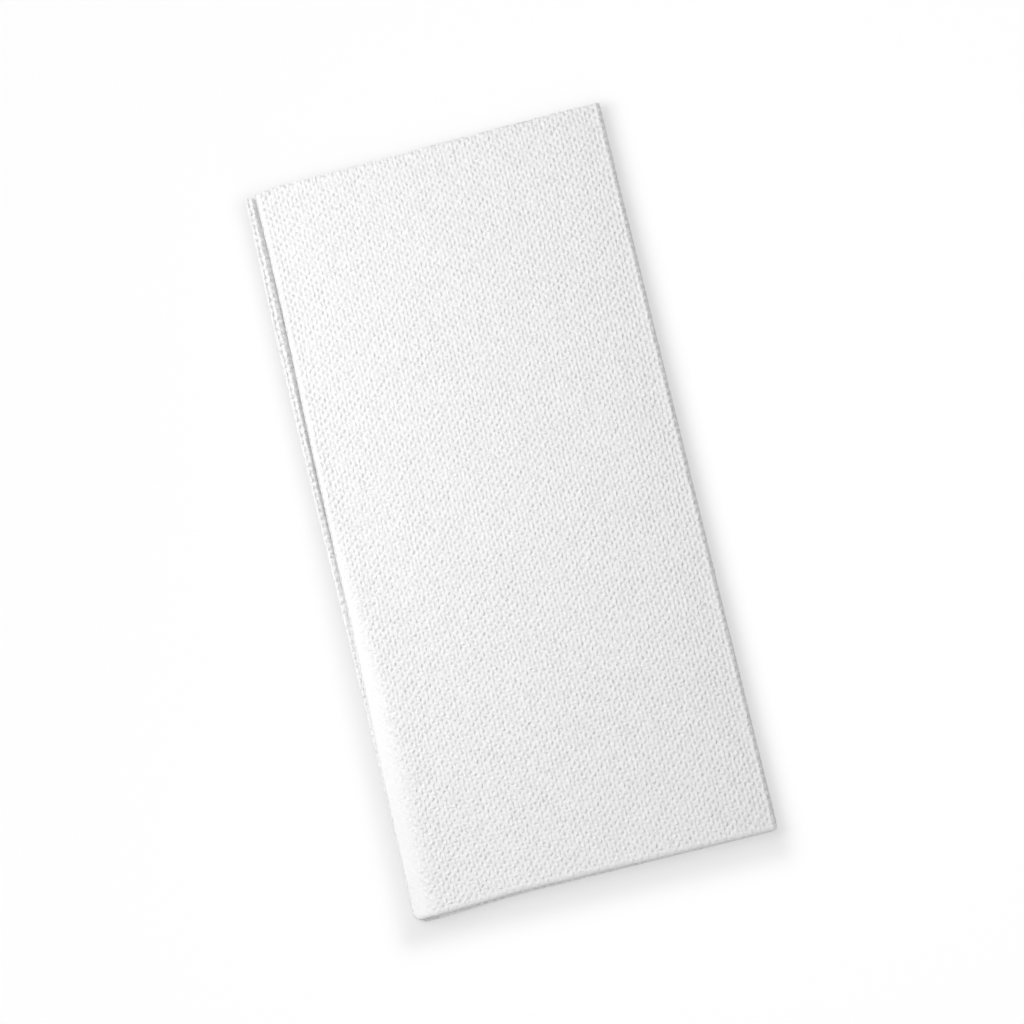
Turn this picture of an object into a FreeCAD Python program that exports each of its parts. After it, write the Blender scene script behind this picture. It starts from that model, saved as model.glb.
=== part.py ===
"""A paper napkin, folded three times into a slim pack of eight layers.

The square sheet is folded in half, halved again across its length, and halved once more along
its length. The pack lies flat with its top layer up. +X runs across it to the long closed fold,
+Y runs along it to the open end, and +Z points up. The origin is under the middle of the pack,
at the level of the table. Sizes are in millimetres.

The layers are counted from the top. Layers 1 and 2 are joined by the upper loop on the left and
layers 3 and 4 by the lower loop. At the closed end 2 turns into 3 and 1 turns into 4. The long
fold on the right takes all four of them round into layers 5 to 8 of the under half.
"""
import FreeCAD, Part
import math
import os
import Sketcher

NODE = "napkin"

SIZES = [
    ("sheet_width", 400.0),     # side of the flat sheet that the first and the last fold halve
    ("sheet_length", 400.0),    # side of the flat sheet that the cross fold halves
    ("paper", 0.45),            # thickness of the embossed paper, over its bumps
    ("gap", 0.12),              # air left between two layers
    ("loop_step", 2.9),         # the lower loop stands out by this much at the open end
    ("lip", 0.6),               # the under half stands out by this much at the closed end
    ("edge_inset", 3.5),        # cut edge of layer 5 from the left side of the pack
    ("edge_creep", 0.9),        # each layer under it is set back by this much more
    ("inner_setback", 1.7),     # layers 3 to 6 end this much before the others at the open end
]

# Formulas on the sizes above, used for every sketch and feature.
WIDTH = "(size.sheet_width / 4)"
LENGTH = "(size.sheet_length / 2)"
PITCH = "(size.paper + size.gap)"
MIDDLE = f"(4 * {PITCH} - size.gap / 2)"
SPINE = f"({WIDTH} / 2 - {MIDDLE})"
LOOP_RADIUS = "(size.paper + size.gap / 2)"
BEND_RADIUS = f"(2 * {PITCH} - size.gap / 2)"
LOOP_AT = f"(-{WIDTH} / 2 + size.loop_step + {LOOP_RADIUS})"
BEND_AT = f"(-{LENGTH} / 2 + {BEND_RADIUS} + size.lip)"
PAIR_LENGTH = f"({LENGTH} / 2 - {BEND_AT})"
UNDER_WIDTH = f"({SPINE} + {WIDTH} / 2 - size.edge_inset)"
OVERSHOOT = f"({PITCH} + size.loop_step)"
PAIR_END = f"({SPINE} + {OVERSHOOT})"


def make_sheet(document):
    """Put the driving dimensions into a spreadsheet, one named cell each."""
    sheet = document.addObject("Spreadsheet::Sheet", "size")
    for row, (name, value) in enumerate(SIZES, start=1):
        sheet.set(f"A{row}", name)
        sheet.set(f"B{row}", str(value))
        sheet.setAlias(f"B{row}", name)
    document.recompute()
    return sheet


def new_sketch(body, name, plane_role, offset="0", along_normal=1):
    """Start a sketch on one of the body's planes, moved by a formula along an axis."""
    plane = next(item for item in body.Origin.OriginFeatures if item.Role == plane_role)
    sketch = body.newObject("Sketcher::SketchObject", name)
    sketch.AttachmentSupport = [(plane, "")]
    sketch.MapMode = "FlatFace"
    sketch.setExpression("AttachmentOffset.Base.z", f"{along_normal} * {offset}")
    return sketch


def dimension(sketch, kind, element, point, formula):
    """Add a dimension from the origin, or a radius, and bind it to a formula."""
    value = sketch.evalExpression(formula)
    if kind == "Radius":
        index = sketch.addConstraint(Sketcher.Constraint(kind, element, value))
    else:
        index = sketch.addConstraint(Sketcher.Constraint(kind, -1, 1, element, point, value))
    sketch.setExpression(f"Constraints[{index}]", formula)


def add_hairpin(sketch, fold_at, level, inner_radius, leg_end):
    """Draw one sheet folded back on itself: two straight legs joined by a half round."""
    x_fold, z_fold, inner, x_end = (
        sketch.evalExpression(formula) for formula in (fold_at, level, inner_radius, leg_end)
    )
    outer = inner + sketch.evalExpression("size.paper")
    centre = FreeCAD.Vector(x_fold, z_fold, 0)
    flat = FreeCAD.Vector(0, 0, 1)

    def line(x_from, z_from, x_to, z_to):
        start = FreeCAD.Vector(x_from, z_from, 0)
        end = FreeCAD.Vector(x_to, z_to, 0)
        return sketch.addGeometry(Part.LineSegment(start, end), False)

    def half_round(radius):
        circle = Part.Circle(centre, flat, radius)
        return sketch.addGeometry(Part.ArcOfCircle(circle, math.pi / 2, 3 * math.pi / 2), False)

    top = line(x_fold, z_fold + outer, x_end, z_fold + outer)
    top_edge = line(x_end, z_fold + outer, x_end, z_fold + inner)
    under_top = line(x_end, z_fold + inner, x_fold, z_fold + inner)
    inside = half_round(inner)
    over_bottom = line(x_fold, z_fold - inner, x_end, z_fold - inner)
    bottom_edge = line(x_end, z_fold - inner, x_end, z_fold - outer)
    bottom = line(x_end, z_fold - outer, x_fold, z_fold - outer)
    outside = half_round(outer)

    start, end, middle = 1, 2, 3
    corners = [(top, end, top_edge, start), (top_edge, end, under_top, start),
               (over_bottom, end, bottom_edge, start), (bottom_edge, end, bottom, start)]
    for corner in corners:
        sketch.addConstraint(Sketcher.Constraint("Coincident", *corner))
    sketch.addConstraint(Sketcher.Constraint("Coincident", inside, middle, outside, middle))
    for straight in (top, under_top, over_bottom, bottom):
        sketch.addConstraint(Sketcher.Constraint("Horizontal", straight))
    for cut in (top_edge, bottom_edge):
        sketch.addConstraint(Sketcher.Constraint("Vertical", cut))
    joins = [(outside, start, top, start), (inside, start, under_top, end),
             (inside, end, over_bottom, start), (outside, end, bottom, end)]
    for join in joins:
        sketch.addConstraint(Sketcher.Constraint("Tangent", *join))

    dimension(sketch, "DistanceX", outside, middle, fold_at)
    dimension(sketch, "DistanceY", outside, middle, level)
    dimension(sketch, "Radius", inside, middle, inner_radius)
    dimension(sketch, "Radius", outside, middle, f"{inner_radius} + size.paper")
    dimension(sketch, "DistanceX", top, end, leg_end)
    dimension(sketch, "DistanceX", bottom, start, leg_end)


def add_outline(sketch, corners):
    """Draw a closed outline of straight lines through corners given as pairs of formulas."""
    places = [tuple(sketch.evalExpression(formula) for formula in corner) for corner in corners]
    lines = []
    for index, (x_from, z_from) in enumerate(places):
        x_to, z_to = places[(index + 1) % len(places)]
        segment = Part.LineSegment(FreeCAD.Vector(x_from, z_from, 0), FreeCAD.Vector(x_to, z_to, 0))
        lines.append(sketch.addGeometry(segment, False))
    for index, one in enumerate(lines):
        following = lines[(index + 1) % len(lines)]
        sketch.addConstraint(Sketcher.Constraint("Coincident", one, 2, following, 1))
    for one, (across, up) in zip(lines, corners):
        dimension(sketch, "DistanceX", one, 1, across)
        dimension(sketch, "DistanceY", one, 1, up)


def add_fold_axis(sketch, level):
    """Draw the line that a fold turns about, at a level above the table."""
    height = sketch.evalExpression(level)
    unit = 1.0
    segment = Part.LineSegment(FreeCAD.Vector(0, height, 0), FreeCAD.Vector(unit, height, 0))
    axis = sketch.addGeometry(segment, True)
    sketch.addConstraint(Sketcher.Constraint("Horizontal", axis))
    sketch.addConstraint(Sketcher.Constraint("PointOnObject", axis, 1, -2))
    sketch.addConstraint(Sketcher.Constraint("DistanceX", axis, 1, axis, 2, unit))
    dimension(sketch, "DistanceY", axis, 1, level)


def add_pad(body, name, sketch, length, direction):
    """Lengthen a section along a direction that may lean a little off its normal."""
    pad = body.newObject("PartDesign::Pad", name)
    pad.Profile = sketch
    pad.setExpression("Length", length)
    pad.UseCustomVector = True
    for letter, formula in zip("xyz", direction):
        pad.setExpression(f"Direction.{letter}", formula)
    return pad


def add_fold(body, name, sketch, backwards):
    """Turn a section half way round the fold axis drawn in its sketch."""
    fold = body.newObject("PartDesign::Revolution", name)
    fold.Profile = sketch
    fold.ReferenceAxis = (sketch, ["Axis0"])
    fold.Angle = 180
    fold.Reversed = backwards
    return fold


def add_trim(body, name, sketch):
    """Cut a section away on both sides of its sketch, right through the pack."""
    trim = body.newObject("PartDesign::Pocket", name)
    trim.Profile = sketch
    trim.Type = "Length"
    trim.SideType = "Symmetric"
    trim.setExpression("Length", "2 * (size.sheet_width + size.sheet_length)")
    return trim


def fold_first_and_across(body):
    """Make the loops of the first fold and the closed end where the cross fold turns them.

    The upper pair runs straight. The lower pair leans out to the left, towards the open end.
    """
    upper = new_sketch(body, "upper_pair_section", "XZ_Plane", BEND_AT, -1)
    add_fold_axis(upper, f"({MIDDLE} + 2 * {PITCH})")
    add_hairpin(upper, LOOP_AT, f"({MIDDLE} + 3 * {PITCH})", "(size.gap / 2)", PAIR_END)
    add_pad(body, "upper_pair", upper, PAIR_LENGTH, ("0", PAIR_LENGTH, "0"))
    add_fold(body, "cross_fold", upper, False)

    lower = new_sketch(body, "lower_pair_section", "XZ_Plane", BEND_AT, -1)
    add_hairpin(lower, LOOP_AT, f"({MIDDLE} + {PITCH})", "(size.gap / 2)", PAIR_END)
    add_pad(body, "lower_pair", lower, PAIR_LENGTH, ("-size.loop_step", PAIR_LENGTH, "0"))


def trim_to_spine(body):
    """Cut the upper half off straight where the long fold begins."""
    far = f"({PAIR_END} + {OVERSHOOT})"
    sketch = new_sketch(body, "spine_cut_outline", "XY_Plane")
    add_outline(sketch, [(SPINE, f"(-{LENGTH})"), (far, f"(-{LENGTH})"),
                         (far, LENGTH), (SPINE, LENGTH)])
    add_trim(body, "spine_cut", sketch)


def add_long_section(sketch, level):
    """Draw the section along the pack: two sheets nested round the cross fold."""
    open_end = f"({LENGTH} / 2)"
    add_hairpin(sketch, BEND_AT, level, "(size.gap / 2)", open_end)
    add_hairpin(sketch, BEND_AT, level, f"(size.gap / 2 + {PITCH})", open_end)


def fold_along(body):
    """Turn all four layers round the long fold and lay the under half below them."""
    section = new_sketch(body, "spine_section", "YZ_Plane", SPINE)
    add_fold_axis(section, MIDDLE)
    add_long_section(section, f"({MIDDLE} + 2 * {PITCH})")
    add_fold(body, "long_fold", section, False)

    under = new_sketch(body, "under_section", "YZ_Plane", SPINE)
    add_long_section(under, f"({MIDDLE} - 2 * {PITCH})")
    add_pad(body, "under_half", under, UNDER_WIDTH, (f"-{UNDER_WIDTH}", "-size.lip", "0"))


def trim_cut_edges(body):
    """Step the cut edges under layer 5 back, each a little more than the one above it."""
    outside = f"(-{WIDTH})"
    below = f"(-{PITCH})"
    corners = [(outside, below)]
    for layers_up in range(3):
        edge = f"(-{WIDTH} / 2 + size.edge_inset + {3 - layers_up} * size.edge_creep)"
        floor = f"({layers_up} * {PITCH} - size.gap / 2)" if layers_up else below
        corners.append((edge, floor))
        corners.append((edge, f"({layers_up + 1} * {PITCH} - size.gap / 2)"))
    corners.append((outside, corners[-1][1]))
    sketch = new_sketch(body, "edge_steps", "XZ_Plane", BEND_AT, -1)
    add_outline(sketch, corners)
    trim = body.newObject("PartDesign::Pocket", "cut_edges")
    trim.Profile = sketch
    trim.Type = "Length"
    trim.setExpression("Length", f"2 * {LENGTH}")


def trim_open_end(body):
    """Set the four inner layers back at the open end, where the outer ones reach further."""
    past = LENGTH
    short = f"({LENGTH} / 2 - size.inner_setback)"
    low, high = f"({MIDDLE} - 2 * {PITCH})", f"({MIDDLE} + 2 * {PITCH})"
    sketch = new_sketch(body, "end_step", "YZ_Plane")
    add_outline(sketch, [(short, low), (past, low), (past, high), (short, high)])
    add_trim(body, "open_end", sketch)


def check(document, body):
    """Stop if any feature failed or the pack isn't one sound solid."""
    for item in document.Objects:
        if "Invalid" in item.State or "Error" in item.State:
            raise RuntimeError(f"{item.Label} did not compute: {item.State}")
    shape = body.Shape
    if shape.isNull() or not shape.isValid():
        raise RuntimeError("the folded pack has no sound shape")
    if len(shape.Solids) != 1:
        raise RuntimeError(f"the folded pack is {len(shape.Solids)} solids, not one")


def main():
    document = FreeCAD.newDocument("folded_napkin")
    make_sheet(document)
    body = document.addObject("PartDesign::Body", NODE)
    body.Label = NODE
    fold_first_and_across(body)
    trim_to_spine(body)
    fold_along(body)
    trim_cut_edges(body)
    trim_open_end(body)
    document.recompute()
    check(document, body)

    box = body.Shape.optimalBoundingBox(True, False)
    print("pack", round(box.XLength, 2), "x", round(box.YLength, 2), "x", round(box.ZLength, 2))
    print("paper volume", round(body.Shape.Volume), "cubic millimetres")
    os.makedirs("parts", exist_ok=True)
    body.Shape.exportStep(f"parts/{NODE}.step")


main()
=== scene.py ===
# %% [markdown]
# A paper napkin, folded three times into a slim pack, lies on a white table. The real one is a
# single square sheet of soft embossed paper, so this lesson makes one mesh. A cloth simulation
# could crease a sheet, but it wouldn't give eight flat layers with tidy bends, so the mesh is
# folded the way hands fold the napkin: a loop, a bend across the pack, a long fold, and the under
# half laid below. Then the paper gets its thickness, the layers get the small errors that real
# folding has, and the outer faces get their embossing as true relief.

# %% Load the frame
import math

import bmesh
import bpy
import numpy as np
from mathutils import Matrix, Vector


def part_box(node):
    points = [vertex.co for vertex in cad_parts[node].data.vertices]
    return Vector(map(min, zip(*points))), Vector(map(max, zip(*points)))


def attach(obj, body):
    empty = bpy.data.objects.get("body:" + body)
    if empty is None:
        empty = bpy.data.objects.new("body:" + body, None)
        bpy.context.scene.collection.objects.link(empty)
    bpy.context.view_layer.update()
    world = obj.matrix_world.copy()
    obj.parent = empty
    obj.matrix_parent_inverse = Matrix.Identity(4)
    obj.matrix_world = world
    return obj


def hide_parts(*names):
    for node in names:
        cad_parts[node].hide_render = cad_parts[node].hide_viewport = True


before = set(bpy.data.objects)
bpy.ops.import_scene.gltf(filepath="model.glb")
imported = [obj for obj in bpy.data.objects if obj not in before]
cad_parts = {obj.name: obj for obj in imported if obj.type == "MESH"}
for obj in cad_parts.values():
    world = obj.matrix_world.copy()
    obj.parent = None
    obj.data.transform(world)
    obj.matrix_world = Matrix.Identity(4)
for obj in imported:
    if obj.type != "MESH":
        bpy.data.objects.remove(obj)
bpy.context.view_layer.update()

# %% [markdown]
# Eight layers lie on each other. Their pitch is the paper's thickness and a little air, so the
# thickness of the whole pack gives it. The fold axes follow from the pitch, as they do on a real
# pack, where each fold turns round what it encloses: SPINE is where the long fold starts to turn,
# LOOP_X is the same for the loops on the left, and BEND_Y for the cross fold.

# %% Sizes of the folded pack
MM = 0.001
LAYERS = 8
low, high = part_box("napkin")
GAP = 0.12 * MM
PITCH = (high.z - low.z + GAP) / LAYERS
PAPER = PITCH - GAP
MIDDLE = LAYERS / 2 * PITCH - GAP / 2
SPINE = high.x - MIDDLE
LOOP_STEP = 2.9 * MM
LOOP_X = -high.x + LOOP_STEP + PAPER + GAP / 2
LOOP_LEFT = LOOP_X - PAPER - GAP / 2
LIP = 0.6 * MM
BEND_Y = low.y + 2 * PITCH - GAP / 2 + LIP
OPEN_Y = high.y
EDGE_INSET = 3.5 * MM
UNDER_WIDTH = SPINE + high.x - EDGE_INSET


def level(layer):
    """Height of the middle of a layer. Layer 1 is on top and layer 8 lies on the table."""
    return MIDDLE + (LAYERS / 2 + 0.5 - layer) * PITCH


print("pitch", round(PITCH / MM, 3), "mm, paper", round(PAPER / MM, 3), "mm")

# %% [markdown]
# Edit mode works on what is selected. These helpers select edges by their place, pull them on in
# even steps and spin them round a fold line, which is all that folding a sheet needs.

# %% Helpers for edit mode
TINY = 1e-6


def select_edges(test):
    """Select the edges of the mesh in edit mode that pass a test, and say how many there are."""
    bpy.ops.mesh.select_all(action="DESELECT")
    bpy.ops.mesh.select_mode(type="EDGE")
    mesh = bmesh.from_edit_mesh(bpy.context.object.data)
    chosen = [edge for edge in mesh.edges if test(edge)]
    for edge in chosen:
        edge.select_set(True)
    bmesh.update_edit_mesh(bpy.context.object.data)
    return len(chosen)


def rim_at(axis, place):
    """Test for open edges that lie in one plane across an axis."""
    return lambda edge: edge.is_boundary and all(abs(v.co[axis] - place) < TINY for v in edge.verts)


def pull(steps, x=0.0, y=0.0):
    """Extrude the selected edges by a total distance, in even steps."""
    for _ in range(steps):
        bpy.ops.mesh.extrude_region_move(
            TRANSFORM_OT_translate={"value": (x / steps, y / steps, 0.0)})


def fold(steps, centre, axis):
    """Spin the selected edges half way round a fold line."""
    bpy.ops.mesh.spin(steps=steps, angle=math.pi, center=centre, axis=axis)


# %% [markdown]
# The top layer is a grid. One of its cells is three periods of the embossing wide and long, so
# that a later subdivision puts vertices exactly on the tops and in the hollows of the pattern.

# %% Lay the top layer
COLUMNS = 14
ROWS = 31
bpy.ops.object.select_all(action="DESELECT")
bpy.ops.mesh.primitive_grid_add(
    x_subdivisions=COLUMNS, y_subdivisions=ROWS, size=1.0,
    location=((LOOP_X + SPINE) / 2, (BEND_Y + OPEN_Y) / 2, level(1)))
sheet = bpy.context.object
sheet.name = "folded_sheet"
sheet.scale = (SPINE - LOOP_X, OPEN_Y - BEND_Y, 1.0)
bpy.ops.object.transform_apply(location=True, rotation=True, scale=True)
print("cells of the top layer", len(sheet.data.polygons))

# %% [markdown]
# First fold: the left rim turns under in a tight loop and comes back as layer 2. Cross fold: the
# rim at the closed end takes both layers round together, so they come back as layers 3 and 4 in
# the opposite order. Long fold: the right rim takes all four round into the under half.

# %% Fold the sheet
LOOP_STEPS = 6
BEND_STEPS = 6
SPINE_STEPS = 12
X, Y = 0, 1
bpy.ops.object.mode_set(mode="EDIT")
loop_rim = select_edges(rim_at(X, LOOP_X))
fold(LOOP_STEPS, (LOOP_X, 0.0, (level(1) + level(2)) / 2), (0, 1, 0))
pull(COLUMNS, x=SPINE - LOOP_X)
bend_rim = select_edges(rim_at(Y, BEND_Y))
fold(BEND_STEPS, (0.0, BEND_Y, (level(2) + level(3)) / 2), (-1, 0, 0))
pull(ROWS, y=OPEN_Y - BEND_Y)
spine_rim = select_edges(rim_at(X, SPINE))
fold(SPINE_STEPS, (SPINE, 0.0, MIDDLE), (0, -1, 0))
pull(COLUMNS, x=-UNDER_WIDTH)
bpy.ops.mesh.select_all(action="SELECT")
bpy.ops.mesh.normals_make_consistent(inside=False)
bpy.ops.object.mode_set(mode="OBJECT")
corners = np.array([v.co for v in sheet.data.vertices])
print("edges taken round the three folds", loop_rim, bend_rim, spine_rim)
print("folded sheet from", (corners.min(0) / MM).round(2), "to", (corners.max(0) / MM).round(2))

# %% [markdown]
# Real paper has two faces and a cut edge. Solidify adds them to the folded sheet, half of the
# thickness to each side, so the layers stay at their levels and each fold keeps its own radius.

# %% Give the paper its thickness
thick = sheet.modifiers.new("thickness", "SOLIDIFY")
thick.thickness = PAPER
thick.offset = 0.0
thick.use_even_offset = True
bpy.ops.object.modifier_apply(modifier=thick.name)
print("faces with both sides", len(sheet.data.polygons))

# %% [markdown]
# A point's distance from each fold line tells which face of the paper it is on. The distances
# are worked out in the order of unfolding: the long fold, the cross fold, then the first fold.
# Solidify sets corner points a few hundredths of a millimetre off, so places are compared with
# the tolerance NEAR. The strip is the part of the lower loop that shows at the left.

# %% Tell the faces of the paper apart
STRIP = 3.4 * MM
NEAR = 0.1 * MM
OUTER_FROM = 1.5 * PITCH + PAPER / 4


def unfold(x, y, z):
    """Distances from the long fold, the cross fold and the first fold, for one point or many."""
    from_spine = np.hypot(np.maximum(x - SPINE, 0.0), z - MIDDLE)
    from_bend = np.hypot(np.minimum(y - BEND_Y, 0.0), from_spine - 2 * PITCH)
    from_loop = np.hypot(np.minimum(x - LOOP_X, 0.0), from_bend - PITCH)
    return from_spine, from_bend, from_loop


def seen_face(co):
    """Name the part of the outside that a point is on, or None inside the pack."""
    from_spine, from_bend, from_loop = unfold(*co)
    if co.x < LOOP_X - NEAR:
        return "loop" if from_loop > PITCH / 2 and co.z > MIDDLE else None
    if from_bend > OUTER_FROM and from_spine > 2 * PITCH:
        if co.x > SPINE + NEAR:
            return "spine"
        if co.z < MIDDLE:
            return "underside"
        return "bend" if co.y < BEND_Y - NEAR else "top"
    if abs(co.z - level(3) - PAPER / 2) < NEAR and co.x < LOOP_X + STRIP + NEAR:
        return "strip"
    return None


def runs_along(edge, axis):
    """True if an edge is parallel to an axis."""
    step = edge.verts[1].co - edge.verts[0].co
    return all(abs(step[other]) < NEAR / 2 for other in range(3) if other != axis)


def on_faces(*names):
    """Test for edges with both ends on the named parts of the outside."""
    return lambda edge: all(seen_face(v.co) in names for v in edge.verts)


for face, place in (("top", (0.0, 0.0, high.z)), ("underside", (0.0, 0.0, 0.0)),
                    ("spine", (high.x, 0.0, MIDDLE)), ("strip", (LOOP_X, 0.0, level(3) + PAPER / 2))):
    print("a point on the", face, "is told as", seen_face(Vector(place)))

# %% [markdown]
# The embossing is finer than the folded mesh, so the faces that are seen get more cuts: twelve
# cells for three periods, four for each. The strip has a narrow gap beside it, so it gets cuts
# closer still. The inner faces stay coarse, which keeps the piece under its limit of triangles.

# %% Divide the faces that are seen
FINE_CUTS = 11
STRIP_CUTS = 9
UNDER_CUTS = 3


def across_lower_pair(edge):
    """True for an edge that runs across the two layers that end in the lower loop."""
    return runs_along(edge, X) and all(
        MIDDLE < v.co.z < MIDDLE + 2 * PITCH - GAP / 2 and v.co.y > BEND_Y - NEAR
        for v in edge.verts)


def across_first_column(edge):
    """True where such an edge spans the column next to the loop."""
    ends = sorted(v.co.x for v in edge.verts)
    return across_lower_pair(edge) and ends[0] < LOOP_X + NEAR and ends[1] > LOOP_X + STRIP


def across_strip(edge):
    """True where such an edge lies within the strip."""
    return across_lower_pair(edge) and all(
        LOOP_X - NEAR < v.co.x < LOOP_X + STRIP + NEAR for v in edge.verts)


bpy.ops.object.mode_set(mode="EDIT")
select_edges(across_first_column)
bpy.ops.mesh.subdivide(number_cuts=1)
seen = on_faces("top", "strip", "loop", "spine")
select_edges(lambda edge: runs_along(edge, Y) and seen(edge))
bpy.ops.mesh.subdivide(number_cuts=FINE_CUTS)
seen = on_faces("top", "bend")
select_edges(lambda edge: runs_along(edge, X) and seen(edge))
bpy.ops.mesh.subdivide(number_cuts=FINE_CUTS)
select_edges(across_strip)
bpy.ops.mesh.subdivide(number_cuts=STRIP_CUTS)
seen = on_faces("underside")
select_edges(lambda edge: seen(edge) and (runs_along(edge, X) or runs_along(edge, Y)))
bpy.ops.mesh.subdivide(number_cuts=UNDER_CUTS)
bpy.ops.object.mode_set(mode="OBJECT")
sheet.data.calc_loop_triangles()
print("triangles", len(sheet.data.loop_triangles), "faces", len(sheet.data.polygons))

# %% [markdown]
# So far the pack is perfect, and real folding isn't. Every point keeps its place in the perfect
# pack, and the errors are added one by one as smooth functions of that place, so layers that
# touch move together and none cuts through another. The upper pair is the two layers that end in
# the upper loop, and the lower pair the two below them.

# %% Places in the perfect pack
SEED = 11
count = len(sheet.data.vertices)
points = np.empty(count * 3)
sheet.data.vertices.foreach_get("co", points)
x0, y0, z0 = points.reshape(count, 3).T
from_spine, from_bend, from_loop = unfold(x0, y0, z0)
under = z0 < MIDDLE
outer_pair = from_spine > 2 * PITCH
upper_pair = outer_pair & ~under
lower_pair = ~outer_pair & ~under
across = np.clip((SPINE - x0) / (SPINE - LOOP_X), 0.0, 1.0)
along = np.clip((y0 - BEND_Y) / (OPEN_Y - BEND_Y), 0.0, 1.0)
x, y, z = x0.copy(), y0.copy(), z0.copy()
rng = np.random.default_rng(SEED)


def fade(t):
    """Rise smoothly from 0 to 1 while t does."""
    t = np.clip(t, 0.0, 1.0)
    return t * t * (3 - 2 * t)


print("points", count, "of them in the under half", int(under.sum()))

# %% [markdown]
# Soft paper doesn't fold into half circles. The layers lie flat almost to the edge and then turn
# down quickly, so each fold is squared up: its corners are pushed out along their radius. The
# higher the power, the squarer the fold. The layers are also pinched together at the long fold,
# so the top falls a little towards it.

# %% Square up the folds
SPINE_SQUARE, BEND_SQUARE = 5.0, 2.1
SIDE_FALL = 0.45 * MM
SIDE_LONG = 15 * MM


def squared(angle, power):
    """How much further out than a circle a rounded square lies, at an angle."""
    return (abs(np.sin(angle)) ** power + abs(np.cos(angle)) ** power) ** (-1 / power)


turned = np.arctan2(np.maximum(x0 - SPINE, 0.0), z0 - MIDDLE)
bent = np.arctan2(np.maximum(BEND_Y - y0, 0.0), from_spine - 2 * PITCH)
out_x = np.maximum(x0 - SPINE, 0.0) / np.maximum(from_spine, TINY)
out_z = (z0 - MIDDLE) / np.maximum(from_spine, TINY)
past_spine = from_spine * (squared(turned, SPINE_SQUARE) - 1) * (x0 > SPINE)
past_bend = (from_spine - 2 * PITCH) * (squared(bent, BEND_SQUARE) - 1) * (y0 < BEND_Y)
side_fall = SIDE_FALL * np.clip((x0 - SPINE + SIDE_LONG) / SIDE_LONG, 0.0, 1.0) ** 2
z -= side_fall * np.clip((z0 - MIDDLE) / MIDDLE, 0.0, 1.0)
x += (past_spine + past_bend) * out_x
z += (past_spine + past_bend) * out_z
y -= np.maximum(BEND_Y - y0, 0.0) * (squared(bent, BEND_SQUARE) - 1)
print("furthest push", round(past_spine.max() / MM, 2), "mm")

# %% [markdown]
# The cross fold was made a little askew. So the lower loop leans out on the left by a strip that
# widens towards the open end, while the upper loop is drawn in. Its edge isn't straight, because
# a hand presses a fold here and there, so a short table says how far it is drawn in at each place
# along the pack. The under half was laid down with its own small turn, and shows as a lip at the
# closed end. Its cut edges creep back layer by layer.

# %% Skew the folds
LEAN_FROM, LEAN_TO = -0.24 * MM, 1.90 * MM
LEAN_ENDS = 0.82
LEAN_CURVE = 0.15
DRAWN_AT = np.array([-100, -62, -38, -18, 12, 24, 50, 64, 82, 100]) * MM
DRAWN_IN = np.array([0.24, 0.30, 0.72, 1.02, 1.05, 1.04, 1.30, 1.42, 1.30, 0.95]) * MM
LIP_OUT = 0.10 * MM
UNDER_BACK, CREEP = 0.9 * MM, 0.6 * MM
leaning = np.clip(along / LEAN_ENDS, 0.0, 1.0)
leaning = (1 + LEAN_CURVE) * leaning - LEAN_CURVE * leaning**2
leaning = LEAN_FROM + (LEAN_TO - LEAN_FROM) * leaning
drawn_in = np.interp(y0, DRAWN_AT, DRAWN_IN)
x -= np.where(lower_pair, leaning * across, 0.0)
x += np.where(upper_pair, drawn_in * across, 0.0)
y -= np.where(under, LIP_OUT * fade((MIDDLE - z0) / PITCH) + LIP * across, 0.0)
layers_down = np.clip(np.round((MIDDLE - z0) / PITCH - 0.5), 0, LAYERS / 2 - 1)
x += np.where(under, (UNDER_BACK + CREEP * layers_down) * across, 0.0)
print("left edge of the lower loop", (x[lower_pair].min() / MM).round(2), "mm")

# %% [markdown]
# At the open end the inner layers stop short of the outer ones, because they take the tighter
# way round the folds. The mouth of the lower loop is open there, its upper wall cut back. The top
# two layers stick out past the others, with nothing under their last millimetre, so they droop.

# %% Set the ends back
SETBACK = 1.6 * MM
MOUTH_CUT = 0.8 * MM
MOUTH_WIDE = 5 * MM
MOUTH_LONG = 12 * MM
CORNER_CUT = 0.7 * MM
OVERHANG, END_DROOP = 0.8 * MM, 0.60 * MM
y -= np.where(outer_pair, 0.0, SETBACK * along)
near_loop = fade((LOOP_X + MOUTH_WIDE - x0) / MOUTH_WIDE)
mouth = near_loop * fade((y0 - OPEN_Y + MOUTH_LONG) / MOUTH_LONG)
wall = np.clip((PITCH - from_bend) / (PITCH / 2), -1.0, 1.0)
y -= np.where(lower_pair, MOUTH_CUT * mouth * wall, 0.0)
y -= np.where(upper_pair, CORNER_CUT * mouth, 0.0)
overhanging = np.clip((y0 - OPEN_Y + OVERHANG) / OVERHANG, 0.0, 1.0) ** 2
z -= np.where(upper_pair, END_DROOP * overhanging, 0.0)
print("inner layers end at", (y[lower_pair].max() / MM).round(2), "mm")

# %% [markdown]
# Beyond the cut edges of the under half nothing holds the loops up, so they droop to the left. At
# the closed end the droop is wide and makes a soft shoulder, with a low crest where it starts.
# The value called closing is 1 at that end and fades to 0 at the open one.

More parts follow.
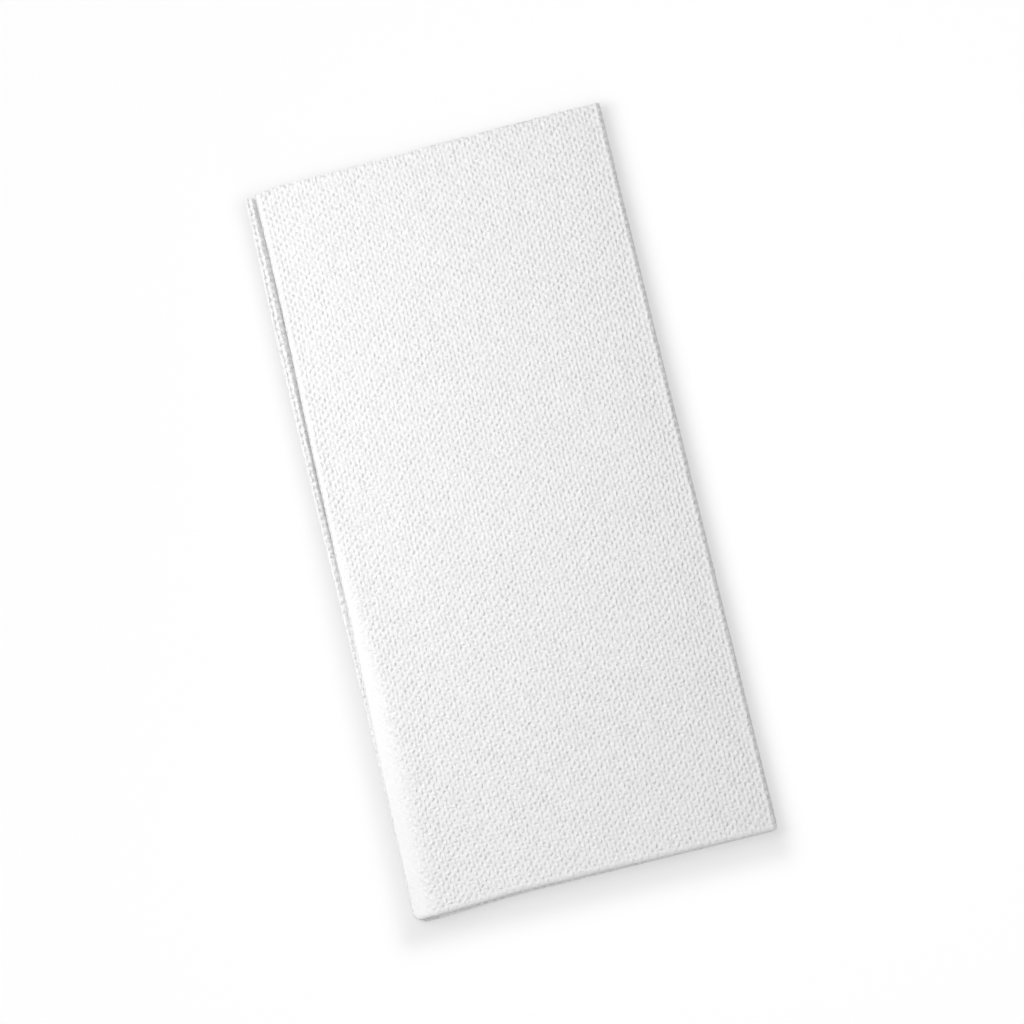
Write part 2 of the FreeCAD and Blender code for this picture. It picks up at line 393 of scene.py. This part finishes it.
# %% Let the loops droop
EDGE_X = -46.0 * MM
CLOSING_FROM, CLOSING_LONG = 20 * MM, 80 * MM
OPEN_DROOP, CLOSED_DROOP = 0.5 * MM, 1.5 * MM
OPEN_SHOULDER, CLOSED_SHOULDER = 2.5 * MM, 7.5 * MM
DROOP_MOST = 1.6
CREST = 0.4 * MM
CREST_X, CREST_WIDE = -40 * MM, 6 * MM
closing = fade((CLOSING_FROM - y) / CLOSING_LONG)
droop = CLOSED_DROOP * closing + np.where(lower_pair, 0.0, OPEN_DROOP) * (1 - closing)
shoulder = OPEN_SHOULDER + (CLOSED_SHOULDER - OPEN_SHOULDER) * closing
fall = droop * np.clip((EDGE_X + shoulder - x) / shoulder, 0.0, DROOP_MOST) ** 2
crest = CREST * closing * np.exp(-(((x - CREST_X) / CREST_WIDE) ** 2))
z += np.where(under, (crest - fall) * z0 / MIDDLE, crest - fall)
print("deepest fall", (fall.max() / MM).round(2), "mm")

# %% [markdown]
# Towards the open end the upper loop springs back instead of drooping. Both loops swell, since
# nothing presses them flat. Right below the edge of the upper loop the lower one sinks into a
# narrow valley, which shows from above as a dark line, and left of it the strip rises again.

# %% Spring the loops open
SPRING, SPRING_WIDE = 0.58 * MM, 2.2 * MM
SWELL, SWELL_WIDE = 0.5, 1.6 * MM
SWELL_LOST = 0.8
VALLEY, VALLEY_WIDE = 1.9 * MM, 0.52 * MM
VALLEY_LEFT = 0.10 * MM
RISE, RISE_WIDE = 0.8 * MM, 3.0 * MM
opening = 1 - closing
spring_back = SPRING * opening * np.exp(-np.maximum(x - EDGE_X, 0.0) / SPRING_WIDE)
left_of = np.where(upper_pair, EDGE_X, x - x0 + LOOP_LEFT)
swell = SWELL * np.exp(-np.maximum(x - left_of, 0.0) / SWELL_WIDE) * (1 - SWELL_LOST * closing)
loop_level = MIDDLE + np.where(upper_pair, 3 * PITCH, PITCH)
z += np.where(under, 0.0, (z0 - loop_level) * swell)
z += np.where(upper_pair, spring_back, 0.0)
panel_edge = LOOP_LEFT + drawn_in
valley = opening * np.exp(-(((x - panel_edge + VALLEY_LEFT) / VALLEY_WIDE) ** 2))
rising = opening * np.clip((panel_edge - x) / RISE_WIDE, 0.0, 1.0)
z += np.where(lower_pair, RISE * rising - VALLEY * valley, 0.0)
print("lowest point", (z.min() / MM).round(3), "mm")

# %% [markdown]
# The corner between the loops and the closed end sags out a little, and it has no sharp point,
# because eight layers turn there at once. A square patch of it is pressed into a quarter disc,
# by the usual map from a square to a disc.

# %% Round the closed corner
SAG = 1.2 * MM
SAG_X, SAG_WIDE = -14 * MM, 32 * MM
SAG_Y, SAG_LONG = -55 * MM, 40 * MM
CORNER = 1.9 * MM
CORNER_LEFT = EDGE_X - 0.85 * MM
y -= SAG * fade((SAG_X - x) / SAG_WIDE) * fade((SAG_Y - y0) / SAG_LONG)
corner_x = CORNER_LEFT + CORNER
corner_y = BEND_Y - 2 * PITCH + GAP / 2 - SAG + CORNER
reach_x = np.clip((corner_x - x) / CORNER, 0.0, 1.0)
reach_y = np.clip((corner_y - y) / CORNER, 0.0, 1.0)
inward = (reach_x > 0) & (reach_y > 0)
x = np.where(inward, corner_x - CORNER * reach_x * np.sqrt(1 - reach_y**2 / 2), x)
y = np.where(inward, corner_y - CORNER * reach_y * np.sqrt(1 - reach_x**2 / 2), y)
print("points pressed into the corner", int(inward.sum()))

# %% [markdown]
# Nothing presses the pack flat, so its top swells and sinks by a tenth of a millimetre over a few
# centimetres. A few long waves in seeded random directions do that. They are scaled by height, so
# the underside stays on the table.

# %% Swell the pack gently
WAVES = 9
WAVE_HIGH = 0.07 * MM
SHORTEST, LONGEST = 28 * MM, 95 * MM
PHASE_MOST = 6.3
waves = np.zeros(count)
for _ in range(WAVES):
    length = rng.uniform(SHORTEST, LONGEST)
    turn = rng.uniform(0, math.pi)
    phase = rng.uniform(0, PHASE_MOST)
    ahead = x * math.cos(turn) + y * math.sin(turn)
    waves += WAVE_HIGH * np.sin(2 * math.pi * ahead / length + phase) * (length / LONGEST)
z += waves * z0 / (high.z - low.z)
print("waves from", (waves.min() / MM).round(3), "to", (waves.max() / MM).round(3), "mm")

# %% [markdown]
# The cut edges come from a blade on soft paper, so they aren't quite straight. Three sines whose
# lengths have no common measure look ragged enough. Each has a length, a phase and a share.

# %% Roughen the cut edges
RAGGED = 0.09 * MM
RAGGED_DEEP = 1.5 * MM
RAGGED_SINES = ((0.83 * MM, 0.0, 1.0), (0.37 * MM, 1.3, 1.0), (2.9 * MM, 0.4, 0.7))
ragged = sum(share * np.sin(x0 / length + phase) for length, phase, share in RAGGED_SINES)
y += RAGGED * ragged * fade((y0 - OPEN_Y + RAGGED_DEEP) / RAGGED_DEEP)
print("open end to", (y.max() / MM).round(2), "mm")

# %% [markdown]
# The embossing is a staggered lattice of small pillows: the product of two cosines. On its own it
# looks like slanted stripes under a lamp from the side, so the squares of both cosines are mixed
# in, and chance makes every point a little higher or lower, as a worn roller does. The lattice
# follows the flat sheet, so on a fold it runs on round the bend.

# %% Lattice of the embossing
PERIODS = 3
PERIOD_X = (SPINE - LOOP_X) / COLUMNS / PERIODS
PERIOD_Y = (OPEN_Y - BEND_Y) / ROWS / PERIODS
CELLS = (FINE_CUTS + 1) / PERIODS
CROSS_X, CROSS_Y = 1.20, 0.72
MEAN_SQUARE = 0.5
UNEVEN = 0.30
SPECKLE = 0.35
round_spine = turned / math.pi * SPINE_STEPS * PERIOD_X / CELLS
round_bend = bent / math.pi * BEND_STEPS * PERIOD_Y / CELLS
flat_x = np.minimum(x0, SPINE) - LOOP_X + round_spine
flat_y = np.maximum(y0, BEND_Y) - BEND_Y - round_bend
wave_x = np.cos(2 * math.pi * flat_x / PERIOD_X)
wave_y = np.cos(2 * math.pi * flat_y / PERIOD_Y)
lattice = wave_x * wave_y
lattice += CROSS_X * (wave_x**2 - MEAN_SQUARE) + CROSS_Y * (wave_y**2 - MEAN_SQUARE)
lattice *= 1 + UNEVEN * rng.standard_normal(count)
lattice += SPECKLE * rng.standard_normal(count)
print("periods", round(PERIOD_X / MM, 2), "by", round(PERIOD_Y / MM, 2), "mm")

# %% [markdown]
# Only the faces that are seen get relief. Where the paper is stretched tight over a fold the
# pillows are ironed out: along the edge of the upper loop, over a width that grows towards the
# closed end, and round the bend of the closed end.

# %% Iron the folds
SMOOTH_OPEN = 0.4 * MM, 1.6 * MM
SMOOTH_CLOSED = 0.6 * MM, 7.0 * MM
BEND_IRONED = 0.7
BEND_SMOOTH_FROM, BEND_SMOOTH_LONG = 1.5 * MM, 2 * MM
outside = (from_bend > OUTER_FROM) & outer_pair & (x0 > LOOP_X - NEAR)
underside = under & (x0 < SPINE + NEAR)
strip = lower_pair & (abs(z0 - level(3) - PAPER / 2) < NEAR) & (x0 < LOOP_X + STRIP + NEAR)
has_relief = (outside & ~underside) | strip
smooth_from, smooth_to = (
    at_open * opening + at_closed * closing for at_open, at_closed in zip(SMOOTH_OPEN, SMOOTH_CLOSED))
over_loop = fade((x - EDGE_X - smooth_from) / (smooth_to - smooth_from))
over_bend = 1 - BEND_IRONED * fade((BEND_Y + BEND_SMOOTH_FROM - y0) / BEND_SMOOTH_LONG)
pressed = has_relief * np.where(upper_pair, over_loop, 1.0) * over_bend
print("points with relief", int(has_relief.sum()))

# %% [markdown]
# The relief moves each point along its normal, so it needs the normals of the folded shape first.
# Two attributes go with the mesh to the material: "relief" says how strongly the paper is
# embossed, and "flat" is the place on the flat sheet, which makes the bump line up with the mesh.

# %% Press the relief in
RELIEF = 0.07 * MM
SMOOTH_ANGLE = math.radians(50)


def write_points(places):
    """Give the sheet's vertices new places."""
    sheet.data.vertices.foreach_set("co", places.ravel())
    sheet.data.update()


folded = np.stack([x, y, z], axis=1)
write_points(folded)
normals = np.empty(count * 3)
sheet.data.vertex_normals.foreach_get("vector", normals)
embossed = folded + normals.reshape(count, 3) * (RELIEF * lattice * pressed)[:, None]
embossed[:, 2] = np.maximum(embossed[:, 2], 0.0)
write_points(embossed)
relief = sheet.data.attributes.new("relief", "FLOAT", "POINT")
relief.data.foreach_set("value", np.where(has_relief, pressed, 1.0))
flat = sheet.data.attributes.new("flat", "FLOAT_VECTOR", "POINT")
flat.data.foreach_set("vector", np.stack([flat_x, flat_y, from_loop], axis=1).ravel())
bpy.ops.object.select_all(action="DESELECT")
sheet.select_set(True)
bpy.context.view_layer.objects.active = sheet
bpy.ops.object.shade_smooth_by_angle(angle=SMOOTH_ANGLE)
print("pack in mm", (embossed.min(0) / MM).round(2), (embossed.max(0) / MM).round(2))

# %% [markdown]
# Materials are made of nodes, and a node's socket takes either a link or a constant. These
# helpers add one node each, feed it with both, and give back its output for the next one.

# %% Helpers for shader nodes
def group_socket(group, name, kind, way, value=None):
    """Add one named input or output to a shader node group."""
    socket = group.interface.new_socket(name=name, in_out=way, socket_type=kind)
    if value is not None:
        socket.default_value = value
    return socket


def feed(tree, value, socket):
    """Link an output to a socket, or set the socket to a constant."""
    if isinstance(value, bpy.types.NodeSocket):
        tree.links.new(value, socket)
    else:
        socket.default_value = value


def math_node(tree, operation, *values):
    """Add a math node and give its output."""
    node = tree.nodes.new("ShaderNodeMath")
    node.operation = operation
    for slot, value in enumerate(values):
        feed(tree, value, node.inputs[slot])
    return node.outputs[0]


def vector_node(tree, operation, *values):
    """Add a vector math node and give its output. A length or a distance is a number."""
    node = tree.nodes.new("ShaderNodeVectorMath")
    node.operation = operation
    for slot, value in enumerate(values):
        feed(tree, value, node.inputs[slot])
    return node.outputs["Value" if operation in ("LENGTH", "DISTANCE") else "Vector"]


def noise_node(tree, vector, scale, detail, output="Fac"):
    """Add a noise texture and give one of its outputs."""
    node = tree.nodes.new("ShaderNodeTexNoise")
    node.inputs["Scale"].default_value = scale
    node.inputs["Detail"].default_value = detail
    tree.links.new(vector, node.inputs["Vector"])
    return node.outputs[output]


print("node helpers ready")

# %% [markdown]
# Below the embossing the paper has a finer surface: soft grains of pulp and single fibres. The
# mesh can't hold those, so they are bump. The bump repeats the lattice too, for faces that are
# too coarse for the relief, with a slow noise that lets the rows wander as on real paper. The
# same values tint the paper. A slow cloud of thicker and thinner pulp is its own tone, the darker
# hollows between pillows and grains are painted shade, and the lighter band where the paper is
# ironed smooth is painted light. All of it is one node group with a place on the sheet and the
# strength of the embossing as inputs.

# %% Paper grain
DOT_HIGH = 0.097 * MM
GRAIN_HIGH = 0.35 * MM
FIBRE_HIGH = 0.18 * MM
WANDER = 0.75 * MM
WANDER_SCALE, CLOUD_SCALE = 420.0, 140.0
GRAIN_SCALE, FIBRE_SCALE = 1250.0, 2200.0
GRAIN_IRONED = 0.35
SHADE_FROM, CLOUD_SHADE = 0.15, 0.4
# The dot and grain shares paint shade into the hollows. The ironed share paints light where the folds
# are smoothed.
DOT_PAINTED_SHADE, GRAIN_PAINTED_SHADE, IRONED_PAINTED_LIGHT = 0.2, 0.4, 0.5


def make_paper_grain():
    """Group: height of fibres and embossing, and a tint with painted shade and light, from a place on
    the sheet.
    """
    group = bpy.data.node_groups.new("paper_grain", "ShaderNodeTree")
    group_socket(group, "Place", "NodeSocketVector", "INPUT")
    group_socket(group, "Embossing", "NodeSocketFloat", "INPUT", 0.0)
    group_socket(group, "Height", "NodeSocketFloat", "OUTPUT")
    group_socket(group, "Tone_with_painted_shade", "NodeSocketFloat", "OUTPUT")
    inside = group.nodes.new("NodeGroupInput")
    outlet = group.nodes.new("NodeGroupOutput")
    place, embossing = inside.outputs["Place"], inside.outputs["Embossing"]

    drift = noise_node(group, place, WANDER_SCALE, 1.0, "Color")
    wandered = vector_node(group, "MULTIPLY_ADD", drift, (WANDER, WANDER, 0.0), place)
    split = group.nodes.new("ShaderNodeSeparateXYZ")
    group.links.new(wandered, split.inputs[0])
    cosines = []
    for axis, period in (("X", PERIOD_X), ("Y", PERIOD_Y)):
        angle = math_node(group, "MULTIPLY_ADD", split.outputs[axis], 2 * math.pi / period,
                          -math.pi * WANDER / period)
        cosines.append(math_node(group, "COSINE", angle))
    dots = math_node(group, "MULTIPLY", *cosines)
    for cosine, share in zip(cosines, (CROSS_X, CROSS_Y)):
        square = math_node(group, "MULTIPLY", cosine, cosine)
        dots = math_node(group, "MULTIPLY_ADD", square, share, dots)
    dots = math_node(group, "MULTIPLY", dots, embossing)

    fibres = noise_node(group, place, FIBRE_SCALE, 2.0)
    grains = noise_node(group, place, GRAIN_SCALE, 1.0)
    left_over = math_node(group, "MULTIPLY_ADD", embossing, 1 - GRAIN_IRONED, GRAIN_IRONED)
    bumps = math_node(group, "MULTIPLY", grains, left_over)
    height = math_node(group, "MULTIPLY", dots, DOT_HIGH)
    height = math_node(group, "MULTIPLY_ADD", bumps, GRAIN_HIGH, height)
    height = math_node(group, "MULTIPLY_ADD", fibres, FIBRE_HIGH, height)
    group.links.new(height, outlet.inputs["Height"])

    # Tint: the cloud is the paper's own uneven pulp, and the dots and grains add painted shade in
    # their hollows.
    cloud = noise_node(group, place, CLOUD_SCALE, 4.0)
    # Where the paper is ironed smooth its white is raised, which is painted light.
    smooth = math_node(group, "SUBTRACT", 1.0, embossing)
    tone_with_painted_shade = math_node(group, "MULTIPLY_ADD", cloud, CLOUD_SHADE, SHADE_FROM)
    for value, share in ((dots, DOT_PAINTED_SHADE), (grains, GRAIN_PAINTED_SHADE), (smooth, IRONED_PAINTED_LIGHT)):
        tone_with_painted_shade = math_node(group, "MULTIPLY_ADD", value, share, tone_with_painted_shade)
    group.links.new(tone_with_painted_shade, outlet.inputs["Tone_with_painted_shade"])
    return group


paper_grain = make_paper_grain()
print("nodes in the paper grain", len(paper_grain.nodes))

# %% [markdown]
# Soft white paper has no gloss, so it is rough with hardly any specular. Its colour is a
# near-white that the grain's tint shifts a little: the pulp's own cloud, with painted shade in
# the hollows and painted light on the ironed folds.

# %% Paper material
ROUGH, SPECULAR = 0.95, 0.2
# The tint runs from a shaded white to a lit white: real thin and full pulp, plus painted shade and
# painted light.
THIN_SHADED_WHITE, FULL_LIT_WHITE = 0.81, 0.89


def make_paper():
    """Build the paper's material around its grain."""
    material = bpy.data.materials.new("soft_white_paper")
    material.use_nodes = True
    tree = material.node_tree
    shader = tree.nodes["Principled BSDF"]
    shader.inputs["Roughness"].default_value = ROUGH
    shader.inputs["Specular IOR Level"].default_value = SPECULAR
    place = tree.nodes.new("ShaderNodeAttribute")
    place.attribute_name = "flat"
    embossing = tree.nodes.new("ShaderNodeAttribute")
    embossing.attribute_name = "relief"
    grain = tree.nodes.new("ShaderNodeGroup")
    grain.node_tree = paper_grain
    tree.links.new(place.outputs["Vector"], grain.inputs["Place"])
    tree.links.new(embossing.outputs["Fac"], grain.inputs["Embossing"])
    bump = tree.nodes.new("ShaderNodeBump")
    bump.inputs["Distance"].default_value = 1.0
    bump.inputs["Strength"].default_value = 1.0
    tree.links.new(grain.outputs["Height"], bump.inputs["Height"])
    tree.links.new(bump.outputs["Normal"], shader.inputs["Normal"])
    tint = tree.nodes.new("ShaderNodeMix")
    tint.data_type = "RGBA"
    tint.inputs["A"].default_value = (THIN_SHADED_WHITE, THIN_SHADED_WHITE, THIN_SHADED_WHITE, 1.0)
    tint.inputs["B"].default_value = (FULL_LIT_WHITE, FULL_LIT_WHITE, FULL_LIT_WHITE, 1.0)
    tree.links.new(grain.outputs["Tone_with_painted_shade"], tint.inputs["Factor"])
    tree.links.new(tint.outputs["Result"], shader.inputs["Base Color"])
    return material


sheet.data.materials.clear()
sheet.data.materials.append(make_paper())
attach(sheet, "root")
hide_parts("napkin")
print("paper material ready")

# %% [markdown]
# The picture needs a light from the left that draws the embossing out, and three weaker ones that
# keep the other sides soft. Each lamp has a place and a share of the light at the middle of the
# table, and FILL is the share of the white surroundings. The table reads these values too, so
# they come before it.

# %% Plan the lamps
LAMPS = {
    "left": (Vector((-0.205, 0.055, 0.268)), 0.49),
    "right": (Vector((0.27, -0.02, 0.62)), 0.11),
    "top": (Vector((0.03, 0.42, 0.36)), 0.15),
    "front": (Vector((0.02, -0.45, 0.26)), 0.08),
}
FILL = 0.23
print("light at the middle", round(FILL + sum(share for place, share in LAMPS.values()), 2))

# %% [markdown]
# The table is a plain white floor. To the camera it is white all over: its colour makes up for
# the lamps' falling off with distance, and part of it glows, so that the pack's true shadow on it
# is soft and pale. In a white room a pack also hides a little light all round itself. Four lamps
# don't give that, so the table is shaded by HALO close to the pack, and the shade dies out over a
# few millimetres. Its oblong lies a little towards the closed end, where the light comes least.

# %% Table
FLOOR = 3.0
TABLE_WHITE = 0.92
GLOW = 0.55
WHITE = 1.02
FALL_OFF = 2.6
HALO, HALO_WIDE = 0.16, 4.3 * MM
HALO_LOW = Vector((-48.0, -103.5, 0.0)) * MM
HALO_HIGH = Vector((48.8, 97.0, 0.0)) * MM


def light_on_table(tree, place):
    """Give the light of all lamps at a place on the table, where the middle has about 1."""
    light = FILL
    for lamp_place, share in LAMPS.values():
        far = vector_node(tree, "DISTANCE", place, lamp_place)
        nearness = math_node(tree, "DIVIDE", lamp_place.length, far)
        nearness = math_node(tree, "POWER", nearness, FALL_OFF)
        light = math_node(tree, "MULTIPLY_ADD", nearness, share, light)
    return light


def shade_round_pack(tree, place):
    """Give a factor that is lowest near the pack's oblong and 1 far from it."""
    side = vector_node(tree, "SUBTRACT", place, (HALO_LOW + HALO_HIGH) / 2)
    side = vector_node(tree, "ABSOLUTE", side)
    past = vector_node(tree, "SUBTRACT", side, (HALO_HIGH - HALO_LOW) / 2)
    past = vector_node(tree, "MAXIMUM", past, (0.0, 0.0, 0.0))
    far = math_node(tree, "DIVIDE", vector_node(tree, "LENGTH", past), HALO_WIDE)
    bell = math_node(tree, "MULTIPLY", math_node(tree, "MULTIPLY", far, far), -1.0)
    return math_node(tree, "MULTIPLY_ADD", math_node(tree, "EXPONENT", bell), -HALO, 1.0)


def make_table_white():
    """Build the material that the camera sees as white, and that reflects as plain white."""
    material = bpy.data.materials.new("white_table")
    material.use_nodes = True
    tree = material.node_tree
    shader = tree.nodes["Principled BSDF"]
    shader.inputs["Roughness"].default_value = 1.0
    shader.inputs["Specular IOR Level"].default_value = 0.0
    place = tree.nodes.new("ShaderNodeTexCoord").outputs["Object"]
    camera_ray = tree.nodes.new("ShaderNodeLightPath").outputs["Is Camera Ray"]
    halo = shade_round_pack(tree, place)
    even = math_node(tree, "DIVIDE", (1 - GLOW) * WHITE, light_on_table(tree, place))
    shown = tree.nodes.new("ShaderNodeMix")
    shown.inputs["A"].default_value = TABLE_WHITE
    tree.links.new(math_node(tree, "MULTIPLY", even, halo), shown.inputs["B"])
    tree.links.new(camera_ray, shown.inputs["Factor"])
    grey = tree.nodes.new("ShaderNodeCombineColor")
    for channel in ("Red", "Green", "Blue"):
        tree.links.new(shown.outputs["Result"], grey.inputs[channel])
    tree.links.new(grey.outputs["Color"], shader.inputs["Base Color"])
    shader.inputs["Emission Color"].default_value = (1.0, 1.0, 1.0, 1.0)
    glow = math_node(tree, "MULTIPLY", math_node(tree, "MULTIPLY", camera_ray, GLOW), halo)
    tree.links.new(glow, shader.inputs["Emission Strength"])
    return material


bpy.ops.mesh.primitive_plane_add(size=FLOOR, location=(0, 0, 0))
floor = bpy.context.object
floor.name = "floor"
floor.data.materials.append(make_table_white())
print("table", FLOOR, "m wide")

# %% [markdown]
# Each lamp is a disk that looks at the middle, about as wide as it is far away, because small
# lamps would draw hard shadows between the pillows. Its power follows from its share, its
# distance and how steeply its light comes down. The white room around lights the pack with FILL
# and shows as pure white behind it.

# %% Light
SIZE_SHARE = 0.93
POWER_SHARE = 1.2
for name, (lamp_place, share) in LAMPS.items():
    lamp_data = bpy.data.lights.new(name, "AREA")
    lamp_data.shape = "DISK"
    lamp_data.size = SIZE_SHARE * lamp_place.length
    lamp_data.energy = POWER_SHARE * share * math.pi**2 * lamp_place.length**3 / lamp_place.z
    lamp = bpy.data.objects.new(name, lamp_data)
    lamp.location = lamp_place
    lamp.rotation_euler = (-lamp_place).to_track_quat("-Z", "Y").to_euler()
    bpy.context.collection.objects.link(lamp)
    print(name, "lamp", round(lamp_data.energy, 2), "W,", round(lamp_data.size, 2), "m wide")
world = bpy.data.worlds.new("white_room")
bpy.context.scene.world = world
world.use_nodes = True
tree = world.node_tree
background = tree.nodes["Background"]
rays = tree.nodes.new("ShaderNodeLightPath")
strength = tree.nodes.new("ShaderNodeMix")
strength.inputs["A"].default_value = FILL
strength.inputs["B"].default_value = 1.0
background.inputs["Color"].default_value = (1.0, 1.0, 1.0, 1.0)
tree.links.new(rays.outputs["Is Camera Ray"], strength.inputs["Factor"])
tree.links.new(strength.outputs["Result"], background.inputs["Strength"])

# %% [markdown]
# The camera stands over the pack, a little towards the closed end and the long fold, and it is
# turned so that the pack leans to the left in the frame. Its place is given by the point it looks
# at, a distance, a tilt from straight above and the heading of that tilt.

# %% Camera
AIM = Vector((1.91, -1.83, 0.0)) * MM
DISTANCE = 0.8
TILT, HEADING, ROLL = math.radians(11.92), math.radians(-64.2), math.radians(-13.069)
FOCAL_PIXELS, FRAME_PIXELS, SENSOR = 3029.2, 1024, 36.0
sideways = math.sin(TILT)
back = Vector((sideways * math.cos(HEADING), sideways * math.sin(HEADING), math.cos(TILT)))
right = (-back).cross(Vector((-math.sin(ROLL), math.cos(ROLL), 0.0))).normalized()
camera_data = bpy.data.cameras.new("camera")
camera_data.lens = SENSOR * FOCAL_PIXELS / FRAME_PIXELS
camera_data.sensor_width = SENSOR
camera = bpy.data.objects.new("camera", camera_data)
turn = Matrix((right, back.cross(right), back)).transposed()
camera.matrix_world = Matrix.Translation(AIM + DISTANCE * back) @ turn.to_4x4()
bpy.context.collection.objects.link(camera)
bpy.context.scene.camera = camera
bpy.context.scene.view_settings.view_transform = "Standard"
print("lens", round(camera_data.lens, 1), "mm")
